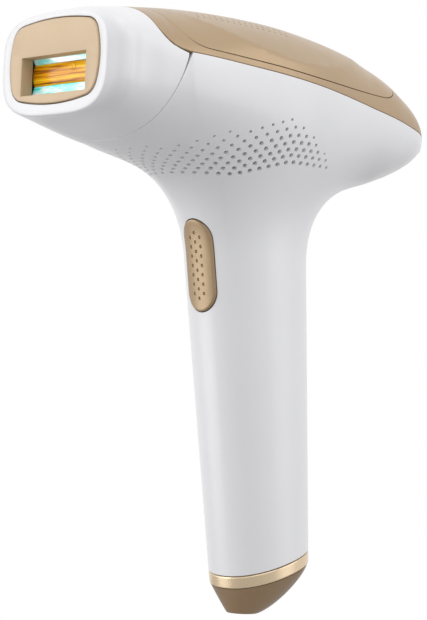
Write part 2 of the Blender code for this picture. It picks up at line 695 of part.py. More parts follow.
# ---------------------------------------------------------------- inside the head and handle
def head_interior():
    z = WINDOW_Z
    box("lamp_socket", (-19.0, -65.2, z - 8.0), (19.0, -57.0, z + 8.0), "black_plastic")
    for sign in (-1, 1):
        bore = rod("bore", (sign * 12.0, -70.0, z), (sign * 12.0, -58.4, z), 1.5, "black_plastic", 10)
        cut(bpy.data.objects["lamp_socket"], bore)
    stations = np.linspace(-54.0, 46.0, 9)
    hub = np.stack([0 * stations, stations, 0 * stations + 168.0], -1)
    half = radial_hit(hub, np.repeat(X_AXIS[None], len(stations), 0))[:, 0] - 4.4
    outline = [(a, y) for a, y in zip(half, stations)] + [(-a, y) for a, y in zip(half[::-1], stations[::-1])]
    loft("chassis", [[(x, y, h) for x, y in outline] for h in (166.5, 168.5)], "grey_plastic")
    for k, (x, y) in enumerate(((-21.0, -40.0), (21.0, -40.0), (-19.0, 12.0), (19.0, 12.0))):
        rod("chassis_screw_%d" % (k + 1), (x, y, 168.8), (x, y, 170.8), 1.9, "spring_steel", 12)
    t = np.linspace(0.0, 2 * math.pi, 32, endpoint=False) + math.pi / 32 * 0
    square = np.array([(19.0 * np.clip(math.sqrt(2) * math.cos(a), -1, 1),
                        FAN_Y + 19.0 * np.clip(math.sqrt(2) * math.sin(a), -1, 1)) for a in t])
    round_ = np.array([(17.6 * math.cos(a), FAN_Y + 17.6 * math.sin(a)) for a in t])
    frame = [[(x, y, FAN_Z0) for x, y in square], [(x, y, FAN_Z1) for x, y in square],
             [(x, y, FAN_Z1) for x, y in round_], [(x, y, FAN_Z0) for x, y in round_]]
    ring("fan_frame", frame, "black_plastic")
    outline = []
    for k in range(7):
        a = 2 * math.pi * k / 7
        for da, r in ((0.0, 7.0), (0.25, 16.6), (0.36, 16.6), (0.30, 7.0), (0.60, 7.0)):
            outline.append((r * math.cos(a + da), FAN_Y + r * math.sin(a + da)))
    loft("fan_rotor", [[(x, y, h) for x, y in outline] for h in (FAN_Z0 + 1.2, FAN_Z1 - 1.2)],
         "black_plastic", origin=(0.0, FAN_Y, (FAN_Z0 + FAN_Z1) / 2))
    box("main_board", (-16.5, -50.0, 171.6), (16.5, 36.0, 173.2), "board_green")
    box("trigger_transformer", (-8.0, 10.0, 151.0), (8.0, 32.0, 163.0), "black_plastic")
    box("light_board", (-15.0, -58.0, 183.6), (15.0, -10.0, 184.8), "board_green")
    low, high = 52.0, 92.0
    rod("capacitor", (0.0, handle_centre(low), low), (0.0, handle_centre(high), high), 10.5, "can_blue", 24)


def build():
    for ob in list(bpy.data.objects):
        bpy.data.objects.remove(ob)
    main_housing()
    top_shells()
    cartridge_shell()
    contact_plate()
    lamp_cartridge()
    handle_foot()
    power_inlet()
    flash_button()
    head_interior()


build()
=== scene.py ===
"""Looks of the IPL hair remover: fine shells on the CAD frame, procedural materials, camera and light."""
import json
import math

import bmesh
import bpy
import numpy as np
from mathutils import Matrix, Vector


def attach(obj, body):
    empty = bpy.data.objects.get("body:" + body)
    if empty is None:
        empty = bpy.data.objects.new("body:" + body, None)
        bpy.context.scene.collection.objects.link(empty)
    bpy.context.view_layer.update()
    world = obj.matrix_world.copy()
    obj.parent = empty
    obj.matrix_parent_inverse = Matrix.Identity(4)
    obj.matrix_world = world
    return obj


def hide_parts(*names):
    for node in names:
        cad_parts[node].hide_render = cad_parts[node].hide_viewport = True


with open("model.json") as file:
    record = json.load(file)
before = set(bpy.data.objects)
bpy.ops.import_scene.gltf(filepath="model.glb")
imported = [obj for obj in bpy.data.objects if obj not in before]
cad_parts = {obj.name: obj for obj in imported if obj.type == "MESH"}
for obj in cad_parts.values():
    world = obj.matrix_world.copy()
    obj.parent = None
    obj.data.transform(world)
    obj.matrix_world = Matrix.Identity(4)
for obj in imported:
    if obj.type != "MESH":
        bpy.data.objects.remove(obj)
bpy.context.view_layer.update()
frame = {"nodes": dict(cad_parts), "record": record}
NODES = frame["nodes"]

# ---------------------------------------------------------------- dimensions (millimetres)
CENTRE_SHIFT = 15.65
WALL = 2.2
GAP = 0.12
ROLL = 0.25                 # rounding of the visible edges
PANEL_GAP = 0.13            # half the hairline round the top panel
PANEL_LIP = 0.12            # rounding of its edge

HEAD = np.array([
    (-96.5, 26.5, 190.0, 158.0),
    (-94.0, 29.6, 191.3, 157.8),
    (-90.5, 30.7, 192.0, 156.8),
    (-85.5, 30.1, 192.9, 154.8),
    (-76.0, 31.4, 194.5, 151.6),
    (-62.0, 33.0, 196.2, 148.2),
    (-36.0, 31.4, 197.7, 146.3),
    (-8.0, 29.3, 197.0, 143.6),
    (20.0, 26.8, 192.2, 144.2),
    (40.0, 23.2, 185.2, 149.0),
    (54.0, 17.6, 176.0, 155.0),
    (62.0, 10.2, 167.5, 160.2),
])
HEAD_END = 65.5
HEAD_BELLY = 0.53
HEAD_POWER = 2.2
RIM_POWER = 3.4
HANDLE_TOP = 170.0
HANDLE_LEAN = math.radians(6.75)
HANDLE_FOOT_Y = 2.1
HANDLE_A = (15.0, 0.0288)
HANDLE_B = (16.9, 0.0369)
BLEND = 26.8
SEAM_Y, SEAM_Z, SEAM_TILT = -66.1, 185.0, 0.345
NOSE_Y, NOSE_ROUND = -79.5, 13.0
PANEL_FRONT, PANEL_REAR, PANEL_ROUND = -71.0, 38.0, 12.0
RIM_Z, BAND_Z, RIM_SLOPE = 17.8, 13.3, 0.31
BASE_Y, BASE_R = -6.5, 5.2
PLATE_Z = 175.0
PLATE_FRONT, RIM_FRONT, RIM_BACK = -96.8, -96.5, -94.5
WINDOW_Z, WINDOW_W, WINDOW_H = 170.9, 16.2, 6.0
TUNNEL_BACK = -92.4
BUTTON_Z, BUTTON_HALF_W, BUTTON_HALF_L = 119.7, 6.7, 15.4
BUTTON_TILT = math.radians(11.4)
BUTTON_PROUD = 0.7


# ---------------------------------------------------------------- outer form
def spline(x, xs, ys):
    """Smooth curve through the stations (xs, ys)."""
    slope = np.gradient(ys, xs)
    i = np.clip(np.searchsorted(xs, x) - 1, 0, len(xs) - 2)
    h = xs[i + 1] - xs[i]
    t = np.clip((x - xs[i]) / h, 0.0, 1.0)
    a = (2 * t**3 - 3 * t**2 + 1) * ys[i] + (t**3 - 2 * t**2 + t) * h * slope[i]
    return a + (3 * t**2 - 2 * t**3) * ys[i + 1] + (t**3 - t**2) * h * slope[i + 1]


def head_distance(p):
    """Approximate distance to the head, a row of superellipse sections along y."""
    x, y, z = p[..., 0], p[..., 1], p[..., 2]
    yc = np.clip(y, HEAD[0, 0], HEAD[-1, 0])
    half, top, bottom = [spline(yc, HEAD[:, 0], HEAD[:, k]) for k in (1, 2, 3)]
    mid = bottom + HEAD_BELLY * (top - bottom)
    u = np.clip((y - HEAD[-1, 0]) / (HEAD_END - HEAD[-1, 0]), 0.0, 0.999)
    close = np.sqrt(1.0 - u * u)
    tall = np.where(z >= mid, top - mid, mid - bottom) * close
    half = half * close
    power = HEAD_POWER + (RIM_POWER - HEAD_POWER) * np.clip((-72.0 - y) / 24.5, 0.0, 1.0)
    q = ((np.abs(x) / half)**power + (np.abs(z - mid) / tall)**power)**(1.0 / power)
    rho = np.sqrt(x * x + (z - mid)**2) + 1e-9
    return np.maximum(rho * (1.0 - 1.0 / np.maximum(q, 1e-6)), y - HEAD_END)


def handle_centre(z):
    """y of the leaning handle axis at height z."""
    return HANDLE_FOOT_Y - z * math.tan(HANDLE_LEAN)


def handle_distance(p):
    """Approximate distance to the handle, a leaning column of superellipse sections."""
    x, y, z = p[..., 0], p[..., 1] - handle_centre(p[..., 2]), p[..., 2]
    zc = np.clip(z, -10.0, HANDLE_TOP)
    a = HANDLE_A[0] + HANDLE_A[1] * zc
    b = HANDLE_B[0] + HANDLE_B[1] * zc
    q = ((np.abs(x) / a)**2.2 + (np.abs(y) / b)**2.2)**(1.0 / 2.2)
    rho = np.sqrt(x * x + y * y) + 1e-9
    return np.maximum(rho * (1.0 - 1.0 / np.maximum(q, 1e-6)), z - HANDLE_TOP)


def form(p):
    """Outer form: head and handle joined by a wide fillet; negative inside."""
    d1, d2 = head_distance(p), handle_distance(p)
    h = np.maximum(BLEND - np.abs(d1 - d2), 0.0) / BLEND
    return np.minimum(d1, d2) - h * h * BLEND * 0.25


def normal(p):
    """Outward unit normal of the form."""
    e = 0.15
    steps = np.eye(3) * e
    g = np.stack([form(p + s) - form(p - s) for s in steps], -1)
    return g / np.linalg.norm(g, axis=-1, keepdims=True)


def smooth_max(a, b, k):
    h = np.maximum(k - np.abs(a - b), 0.0) / k
    return np.maximum(a, b) + h * h * k * 0.25


def cover_line(y):
    """Side-view height of the gold cover's lower edge."""
    u = y + 20.0
    return 176.3 - 0.085 * u - 0.0006 * u * u


def outside_cover(p):
    """Positive below or in front of the gold cover, negative within its region."""
    return smooth_max(NOSE_Y - p[..., 1], cover_line(p[..., 1]) - p[..., 2], NOSE_ROUND)


def outside_panel(p):
    """Positive outside the top panel's region."""
    y, z = p[..., 1], p[..., 2]
    lift = 2.2 + 0.0014 * np.maximum(y + 23.0, 0.0)**2
    ends = np.maximum(PANEL_FRONT - y, y - PANEL_REAR)
    return smooth_max(ends, cover_line(y) + lift - z, PANEL_ROUND)


def behind_seam(p):
    """Positive on the housing side of the cartridge parting plane."""
    return p[..., 1] - (SEAM_Y - SEAM_TILT * (SEAM_Z - p[..., 2]))


def above_plane(p, height):
    """Positive above the slanted plane that meets the foot axis at the given height."""
    return p[..., 2] - height - RIM_SLOPE * p[..., 1]


# ---------------------------------------------------------------- curves on the form
def trace(centre, axis, spokes, start, stop, rising=True, step=1.0, count=420):
    """Follow the form in half planes round an axis, from the start points until stop turns positive.

    Returns one polyline per spoke.
    """
    p = start.copy()
    paths = [[q.copy()] for q in p]
    alive = np.ones(len(p), bool)
    last = stop(p)
    for _ in range(count):
        n = normal(p)
        g_r = np.sum(n * spokes, -1)
        g_h = n @ axis
        size = np.sqrt(g_r**2 + g_h**2) + 1e-9
        sign = 1.0 if rising else -1.0
        move = (-g_h / size)[:, None] * spokes + (g_r / size)[:, None] * axis
        q = p + move * sign * step
        for _ in range(3):
            n = normal(q)
            g_r = np.sum(n * spokes, -1)
            g_h = n @ axis
            flat = g_r[:, None] * spokes + g_h[:, None] * axis
            q = q - flat * (form(q) / np.sum(flat * flat, -1))[:, None]
        now = stop(q)
        for i in np.nonzero(alive)[0]:
            if now[i] > 0.0:
                f = last[i] / (last[i] - now[i]) if last[i] < 0.0 else 0.0
                paths[i].append(p[i] + (q[i] - p[i]) * f)
                alive[i] = False
            else:
                paths[i].append(q[i].copy())
        p, last = q, now
        if not alive.any():
            break
    return [np.array(path) for path in paths]


def resample(path, fractions):
    """Points at the given fractions of the path's length."""
    arc = np.concatenate([[0.0], np.cumsum(np.linalg.norm(np.diff(path, axis=0), axis=1))])
    want = np.asarray(fractions) * arc[-1]
    return np.stack([np.interp(want, arc, path[:, k]) for k in range(3)], -1)


def trim(path, test):
    """Drop the start of a path up to where the test turns positive."""
    value = test(path)
    i = int(np.argmax(value > 0.0))
    f = value[i - 1] / (value[i - 1] - value[i])
    return np.vstack([path[i - 1] + (path[i] - path[i - 1]) * f, path[i:]])


def radial_hit(centre, spokes, reach=60.0):
    """Where rays from the centre points along the spokes leave the form."""
    lo = np.zeros(len(spokes))
    hi = np.full(len(spokes), reach)
    for _ in range(40):
        mid = (lo + hi) / 2
        inside = form(centre + spokes * mid[:, None]) < 0.0
        lo = np.where(inside, mid, lo)
        hi = np.where(inside, hi, mid)
    return centre + spokes * lo[:, None]


HANDLE_AXIS = np.array([0.0, -math.sin(HANDLE_LEAN), math.cos(HANDLE_LEAN)])
HANDLE_FRONT = np.array([0.0, -math.cos(HANDLE_LEAN), -math.sin(HANDLE_LEAN)])
X_AXIS, Y_AXIS, Z_AXIS = np.eye(3)


def handle_spokes(theta):
    """Unit vectors across the handle axis; angle 0 points to the front, 90 degrees to +x."""
    return np.sin(theta)[:, None] * X_AXIS + np.cos(theta)[:, None] * HANDLE_FRONT


def housing_columns(theta, gap=GAP / 2):
    """Curves up the handle and out over the belly to the cover edge or the cartridge seam."""
    spokes = handle_spokes(theta)
    foot = np.array([0.0, handle_centre(4.0), 4.0])
    start = radial_hit(np.repeat(foot[None], len(theta), 0), spokes)

    def stop(p):
        return np.maximum(gap - outside_cover(p), gap - behind_seam(p))

    paths = trace(foot, HANDLE_AXIS, spokes, start, stop)
    return [trim(path, lambda p: above_plane(p, RIM_Z + gap)) for path in paths]


def cartridge_columns(phi, gap=GAP / 2):
    """Curves from the front rim back to the cartridge seam or the nose of the gold cover."""
    spokes = np.sin(phi)[:, None] * X_AXIS + np.cos(phi)[:, None] * Z_AXIS
    hub = np.array([0.0, RIM_FRONT, 174.0])
    start = radial_hit(np.repeat(hub[None], len(phi), 0), spokes)

    def stop(p):
        return np.maximum(gap - outside_cover(p), behind_seam(p) + gap)

    return trace(hub, Y_AXIS, spokes, start, stop)


def cover_columns(alpha, gap=GAP):
    """Curves from the crown of the head down to the lower edge of the gold cover."""
    spokes = np.sin(alpha)[:, None] * X_AXIS - np.cos(alpha)[:, None] * Y_AXIS
    hub = np.array([0.0, -20.0, 175.0])
    crown = radial_hit(hub[None], Z_AXIS[None])[0]
    start = np.repeat(crown[None], len(alpha), 0) + spokes * 1.0
    return crown, trace(hub, Z_AXIS, spokes, start, lambda p: outside_cover(p) + gap, rising=False)


def housing_angles(count):
    """Column angles, closer together where the head is long."""
    t = np.linspace(0.0, 2 * math.pi, count, endpoint=False)
    return np.arctan2(np.sin(t) * 0.8, np.cos(t))


def cover_angles():
    """Plan angles of the cover columns, shared with the ends of the columns below."""
    ends = np.array([path[-1] for path in housing_columns(housing_angles(N_AROUND))])
    side = ends[ends[:, 1] > SEAM_Y - 1.0]
    front = np.linspace(-1.0, 1.0, 13)
    front = np.stack([front * 31.5, -79.5 + 9.0 * np.abs(front)**6, front * 0.0], -1)
    both = np.vstack([side, front])
    return np.sort(np.arctan2(both[:, 0], -(both[:, 1] + 20.0)))


# ---------------------------------------------------------------- mesh builders
def metres(points):
    return (np.asarray(points, float) + (0.0, CENTRE_SHIFT, 0.0)) * 0.001


def mesh_object(name, points, faces, mat):
    mesh = bpy.data.meshes.new(name)
    mesh.from_pydata([tuple(v) for v in metres(points)], [], [tuple(int(i) for i in f) for f in faces])
    mesh.materials.append(mat)
    bm = bmesh.new()
    bm.from_mesh(mesh)
    bmesh.ops.recalc_face_normals(bm, faces=bm.faces)
    if bm.calc_volume(signed=True) < 0.0:
        bmesh.ops.reverse_faces(bm, faces=bm.faces)
    for face in bm.faces:
        face.smooth = True
    bm.to_mesh(mesh)
    bm.free()
    ob = bpy.data.objects.new(name, mesh)
    bpy.context.scene.collection.objects.link(ob)
    return ob


def bands(rows, count, wrap_rows):
    r = np.arange(rows if wrap_rows else rows - 1)[:, None]
    i = np.arange(count)[None]
    s, j = (r + 1) % rows, (i + 1) % count
    quads = np.stack([r * count + i, r * count + j, s * count + j, s * count + i], -1)
    return quads.reshape(-1, 4).tolist()


def ring(name, loops, mat):
    """Ring-shaped solid: the loops follow each other round its section."""
    return mesh_object(name, np.vstack(loops), bands(len(loops), len(loops[0]), True), mat)


def loft(name, loops, mat):
    """Solid through a list of loops, closed at both ends."""
    n = len(loops[0])
    faces = bands(len(loops), n, False)
    faces.append(range(n))
    faces.append(range((len(loops) - 1) * n, len(loops) * n))
    return mesh_object(name, np.vstack(loops), faces, mat)


def disc(centre, u, v, radius, count=16):
    t = np.linspace(0.0, 2 * math.pi, count, endpoint=False)
    return np.asarray(centre) + radius * (np.cos(t)[:, None] * u + np.sin(t)[:, None] * v)


def unit(v):
    return v / np.linalg.norm(v, axis=-1, keepdims=True)


def cut(ob, cutter):
    """Subtract the cutter, then delete the cutter object."""
    mod = ob.modifiers.new("cut", "BOOLEAN")
    mod.operation = "DIFFERENCE"
    mod.solver = "MANIFOLD"
    mod.object = cutter
    graph = bpy.context.evaluated_depsgraph_get()
    made = bpy.data.meshes.new_from_object(ob.evaluated_get(graph))
    ob.modifiers.clear()
    ob.data = made
    bpy.data.objects.remove(cutter)


def skin_normals(ob, field=None, offset=0.0, crease=32.0):
    """Loop normals: exact ones where a face lies on the form, angle-limited ones elsewhere."""
    mesh = ob.data
    count = len(mesh.vertices)
    co = np.empty(count * 3)
    mesh.vertices.foreach_get("co", co)
    co = co.reshape(-1, 3) * 1000.0 - (0.0, CENTRE_SHIFT, 0.0)
    exact = normal(co)
    depth = form(co) - offset
    n_face = len(mesh.polygons)
    f_normal = np.empty(n_face * 3)
    mesh.polygons.foreach_get("normal", f_normal)
    f_normal = f_normal.reshape(-1, 3)
    mesh.set_sharp_from_angle(angle=math.radians(crease))
    base = np.array([c.vector for c in mesh.corner_normals])
    loop_vertex = np.empty(len(mesh.loops), int)
    mesh.loops.foreach_get("vertex_index", loop_vertex)
    totals = np.array([p.loop_total for p in mesh.polygons])
    loop_face = np.repeat(np.arange(n_face), totals)
    on_skin = np.ones(n_face, bool)
    np.logical_and.at(on_skin, loop_face, np.abs(depth[loop_vertex]) < 0.03)
    facing = np.ones(n_face, bool)
    np.logical_and.at(facing, loop_face, np.sum(exact[loop_vertex] * f_normal[loop_face], -1) > 0.2)
    area = np.empty(n_face)
    mesh.polygons.foreach_get("area", area)
    facing |= area < 2e-8
    use = (on_skin & facing)[loop_face]
    base[use] = exact[loop_vertex[use]]
    mesh.normals_split_custom_set(base.tolist())


# ---------------------------------------------------------------- materials
def shader_material(name, colour, rough, metal=0.0, coat=0.0, spec=0.5):
    mat = bpy.data.materials.new(name)
    mat.use_nodes = True
    tree = mat.node_tree
    bsdf = tree.nodes["Principled BSDF"]
    bsdf.inputs["Base Color"].default_value = (*colour, 1.0)
    bsdf.inputs["Roughness"].default_value = rough
    bsdf.inputs["Metallic"].default_value = metal
    bsdf.inputs["Coat Weight"].default_value = coat
    bsdf.inputs["Coat Roughness"].default_value = 0.15
    bsdf.inputs["Specular IOR Level"].default_value = spec
    return mat, tree, bsdf


def coordinates(tree, scale=(1.0, 1.0, 1.0)):
    place = tree.nodes.new("ShaderNodeTexCoord")
    mapping = tree.nodes.new("ShaderNodeMapping")
    mapping.inputs["Scale"].default_value = scale
    tree.links.new(place.outputs["Object"], mapping.inputs["Vector"])
    return mapping.outputs["Vector"]


def noise(tree, vector, scale, detail=2.0, rough=0.5):
    node = tree.nodes.new("ShaderNodeTexNoise")
    node.inputs["Scale"].default_value = scale
    node.inputs["Detail"].default_value = detail
    node.inputs["Roughness"].default_value = rough
    tree.links.new(vector, node.inputs["Vector"])
    return node.outputs["Fac"]


def ramp(tree, fac, stops):
    node = tree.nodes.new("ShaderNodeValToRGB")
    els = node.color_ramp.elements
    while len(els) < len(stops):
        els.new(0.5)
    for el, (pos, col) in zip(els, stops):
        el.position = pos
        el.color = (*col, 1.0)
    tree.links.new(fac, node.inputs["Fac"])
    return node.outputs["Color"]


def spread(tree, fac, low, high, from_low=0.3, from_high=0.7):
    node = tree.nodes.new("ShaderNodeMapRange")
    node.inputs["From Min"].default_value = from_low
    node.inputs["From Max"].default_value = from_high
    node.inputs["To Min"].default_value = low
    node.inputs["To Max"].default_value = high
    tree.links.new(fac, node.inputs["Value"])
    return node.outputs["Result"]


def bump(tree, bsdf, height, strength, distance):
    node = tree.nodes.new("ShaderNodeBump")
    node.inputs["Strength"].default_value = strength
    node.inputs["Distance"].default_value = distance
    tree.links.new(height, node.inputs["Height"])
    tree.links.new(node.outputs["Normal"], bsdf.inputs["Normal"])


def plastic(name, colour, rough, vary=0.03, coat=0.0, grain=0.03, grain_scale=2500.0, spec=0.5):
    """Moulded plastic: slight tone variation, uneven gloss and a fine moulded grain."""
    mat, tree, bsdf = shader_material(name, colour, rough, coat=coat, spec=spec)
    vector = coordinates(tree)
    soft = noise(tree, vector, 60.0, 3.0)
    low = tuple(c * (1.0 - vary) for c in colour)
    high = tuple(min(1.0, c * (1.0 + vary)) for c in colour)
    tree.links.new(ramp(tree, soft, [(0.3, low), (0.7, high)]), bsdf.inputs["Base Color"])
    tree.links.new(spread(tree, noise(tree, vector, 240.0, 4.0), rough - 0.03, rough + 0.04),
                   bsdf.inputs["Roughness"])
    bump(tree, bsdf, noise(tree, vector, grain_scale, 2.0), grain, 0.0001)
    return mat


def gold_paint(name, colour, rough, metal, flake=0.06, coat=0.15):
    """Champagne metallic paint: fine flakes that vary the tone and the gloss."""
    mat, tree, bsdf = shader_material(name, colour, rough, metal, coat=coat)
    vector = coordinates(tree)
    flakes = noise(tree, vector, 6000.0, 1.0)
    low = tuple(c * (1.0 - flake) for c in colour)
    high = tuple(min(1.0, c * (1.0 + flake)) for c in colour)
    tree.links.new(ramp(tree, flakes, [(0.35, low), (0.65, high)]), bsdf.inputs["Base Color"])
    tree.links.new(spread(tree, noise(tree, vector, 180.0, 4.0), rough - 0.03, rough + 0.04),
                   bsdf.inputs["Roughness"])
    bump(tree, bsdf, flakes, 0.05, 0.00005)
    return mat


def metal_finish(name, colour, rough, stretch=(1.0, 1.0, 30.0)):
    """Bare metal with fine drawn lines."""
    mat, tree, bsdf = shader_material(name, colour, rough, 1.0)
    vector = coordinates(tree, stretch)
    lines = noise(tree, vector, 700.0, 3.0)
    low = tuple(c * 0.85 for c in colour)
    tree.links.new(ramp(tree, lines, [(0.3, low), (0.7, colour)]), bsdf.inputs["Base Color"])
    tree.links.new(spread(tree, lines, rough * 0.7, rough * 1.4), bsdf.inputs["Roughness"])
    bump(tree, bsdf, lines, 0.05, 0.00005)
    return mat


def board_finish(name):
    """Solder mask with darker copper tracks under it."""
    mat, tree, bsdf = shader_material(name, (0.02, 0.16, 0.07), 0.35, coat=0.4)
    vector = coordinates(tree, (1.0, 1.0, 1.0))
    brick = tree.nodes.new("ShaderNodeTexBrick")
    brick.inputs["Scale"].default_value = 160.0
    brick.inputs["Color1"].default_value = (0.015, 0.14, 0.06, 1.0)
    brick.inputs["Color2"].default_value = (0.02, 0.19, 0.09, 1.0)
    brick.inputs["Mortar"].default_value = (0.05, 0.28, 0.13, 1.0)
    brick.inputs["Mortar Size"].default_value = 0.03
    tree.links.new(vector, brick.inputs["Vector"])
    tree.links.new(brick.outputs["Color"], bsdf.inputs["Base Color"])
    bump(tree, bsdf, brick.outputs["Fac"], 0.2, 0.0001)
    return mat


def amber_painted_glow_finish(name):
    """Amber filter glass with painted reflections and a painted glow: lengthwise light and dark streaks in its colour
    stand for the lamp and reflector behind it, and the glass emits them.
    """
    mat, tree, bsdf = shader_material(name, (0.95, 0.5, 0.02), 0.22, coat=0.15, spec=0.2)
    vector = coordinates(tree, (26.0, 26.0, 900.0))
    streak = noise(tree, vector, 1.0, 4.0, 0.65)
    # painted reflection: the streak ramp runs from dark reddish lines to bright yellow highlights
    colours = ramp(tree, streak, [(0.32, (0.07, 0.015, 0.0)), (0.42, (0.36, 0.11, 0.0)), (0.50, (0.66, 0.27, 0.002)),
                                  (0.58, (0.80, 0.43, 0.006)), (0.70, (0.95, 0.70, 0.03))])
    tree.links.new(colours, bsdf.inputs["Base Color"])
    # painted glow: the glass emits its own streak colours though it is no lamp
    tree.links.new(colours, bsdf.inputs["Emission Color"])
    bsdf.inputs["Emission Strength"].default_value = 0.22
    bump(tree, bsdf, streak, 0.35, 0.0003)
    return mat


def cyan_painted_reflection_glow_finish(name, deep, pale):
    """Coated glass edge with a painted reflection, cyan clouds running to white in its colour, and a painted glow from
    emission.
    """
    mat, tree, bsdf = shader_material(name, deep, 0.08, 0.0, coat=1.0)
    vector = coordinates(tree, (110.0, 60.0, 500.0))
    cloud = noise(tree, vector, 1.0, 3.0)
    # painted reflection: the clouds run from the deep cyan up to near white
    colours = ramp(tree, cloud, [(0.36, deep), (0.50, pale), (0.64, (0.92, 1.0, 1.0))])
    tree.links.new(colours, bsdf.inputs["Base Color"])
    # painted glow: the edge emits its own colour though it is no lamp
    tree.links.new(colours, bsdf.inputs["Emission Color"])
    bsdf.inputs["Emission Strength"].default_value = 0.25
    return mat


WHITE = plastic("white_shell_finish", (0.63, 0.63, 0.645), 0.32, 0.008, coat=0.1, grain=0.006, grain_scale=900.0)
GOLD = gold_paint("gold_cover_finish", (0.37, 0.26, 0.155), 0.36, 0.45)
GOLD_PANEL = gold_paint("gold_panel_finish", (0.38, 0.27, 0.16), 0.33, 0.45)
GOLD_BUTTON = gold_paint("gold_button_finish", (0.31, 0.215, 0.12), 0.36, 0.45)
GOLD_PLATE = gold_paint("gold_plate_finish", (0.48, 0.35, 0.215), 0.50, 0.08, 0.035)
GOLD_BAND = gold_paint("gold_band_finish", (0.66, 0.52, 0.35), 0.26, 0.75)
GOLD_CAP = gold_paint("gold_cap_finish", (0.30, 0.20, 0.115), 0.30, 0.65)
# amber glass with painted reflector streaks and a painted glow
AMBER_PAINTED_GLOW = amber_painted_glow_finish("amber_glass_painted_glow_finish")
# painted reflections and glow on the two glass edges; the top edge is a paler copy of the low one
CYAN_TOP_PAINTED_REFLECTION = cyan_painted_reflection_glow_finish("cyan_edge_top_painted_reflection", (0.25, 0.75, 0.72), (0.62, 0.92, 0.90))
CYAN_LOW_PAINTED_REFLECTION = cyan_painted_reflection_glow_finish("cyan_edge_low_painted_reflection", (0.0, 0.72, 0.66), (0.15, 0.90, 0.84))
BLACK = plastic("black_plastic_finish", (0.03, 0.03, 0.034), 0.45, 0.1, grain=0.15)
GREY = plastic("grey_plastic_finish", (0.30, 0.31, 0.33), 0.5, 0.06, grain=0.12)
RUBBER = plastic("seal_rubber_finish", (0.02, 0.02, 0.02), 0.75, 0.15, grain=0.3)
BLUE_CAN = plastic("can_sleeve_finish", (0.03, 0.06, 0.2), 0.35, 0.08, grain=0.05)
BRASS = metal_finish("brass_pin_finish", (0.78, 0.58, 0.25), 0.22)
STEEL = metal_finish("spring_steel_finish", (0.62, 0.63, 0.65), 0.25)
TUNGSTEN = metal_finish("tungsten_finish", (0.3, 0.3, 0.32), 0.4, (30.0, 1.0, 1.0))
MIRROR = metal_finish("mirror_finish", (0.9, 0.91, 0.93), 0.08, (30.0, 1.0, 1.0))
QUARTZ = plastic("quartz_finish", (0.85, 0.9, 0.93), 0.08, 0.03, coat=0.6, grain=0.01)
BOARD = board_finish("board_finish")

CARRIED = {
    "white_shell": WHITE, "gold_cover": GOLD, "gold_plate": GOLD_PLATE, "gold_band": GOLD_BAND,
    "gold_cap": GOLD_CAP, "amber_glass": AMBER_PAINTED_GLOW, "mirror_metal": MIRROR, "clear_quartz": QUARTZ,
    "tungsten": TUNGSTEN, "black_plastic": BLACK, "grey_plastic": GREY, "board_green": BOARD,
    "brass_pin": BRASS, "spring_steel": STEEL, "seal_rubber": RUBBER, "can_blue": BLUE_CAN,
}
slot_of = {s["node"]: s["material_slot"] for s in frame["record"]["subparts"]}
for name, node in NODES.items():
    for slot in node.material_slots:
        slot.material = CARRIED[slot_of[name]]


# ---------------------------------------------------------------- shells
def rolled(rows, start=ROLL, end=ROLL):
    """Grid rows with their first and last edges rounded over, inward from the skin."""
    rows = [np.asarray(r) for r in rows]
    out = list(rows)

    def lip(edge, neighbour, radius):
        n = normal(edge)
        along = unit(edge - neighbour)
        steps = []
        for a in (30.0, 60.0, 90.0):
            s, c = math.sin(math.radians(a)), math.cos(math.radians(a))
            steps.append(edge + along * radius * s - n * radius * (1.0 - c))
        return steps

    if end:
        out = out + lip(rows[-1], rows[-2], end)
    if start:
        out = lip(rows[0], rows[1], start)[::-1] + out
    return out


def thick(name, rows, wall, mat, start=ROLL, end=ROLL):
    """Shell with rounded visible edges: rolled outer rows, then plain inner rows."""
    outer = rolled(rows, start, end)
    inner = [rows[k] - normal(rows[k]) * wall for k in range(0, len(rows), 2)]
    inner[0] = outer[0] - normal(rows[0]) * (wall - ROLL)
    inner[-1] = outer[-1] - normal(rows[-1]) * (wall - ROLL)
    return ring(name, outer + inner[::-1], mat)


def vent_places():
    """Centres and hole sizes of the belly vents: staggered rows that follow the handle junction."""
    step = 6.6
    places = []
    for row in range(9):
        angle = np.radians(np.arange(-118.8, 119.0, step) + (row % 2) * step / 2)
        s = (0.0, 2.3, 4.5, 6.8, 9.2, 11.8, 14.6, 17.6, 20.8)[row]
        for a, path in zip(angle, housing_columns(angle)):
            turn = abs(math.degrees(a))
            low = 144.4 + 5.4 * np.clip((turn - 42.0) / 40.0, 0.0, 1.0)
            lower = trim(path, lambda p: p[..., 2] - low)
            arc = np.concatenate([[0.0], np.cumsum(np.linalg.norm(np.diff(lower, axis=0), axis=1))])
            reach = np.interp(turn, (0.0, 20.0, 40.0, 52.0, 78.0, 92.0, 105.0, 117.0, 119.0),
                              (21.5, 20.5, 18.5, 17.0, 16.0, 13.0, 8.0, 3.0, 0.0))
            if s <= reach and s < arc[-1] - 3.0:
                size = 0.86 - 0.42 * max(0.0, (s / reach - 0.55) / 0.45)
                size *= 1.0 - 0.25 * np.clip((turn - 95.0) / 25.0, 0.0, 1.0)
                places.append([np.interp(s, arc, lower[:, k]) for k in range(3)] + [size])
    return np.array(places)


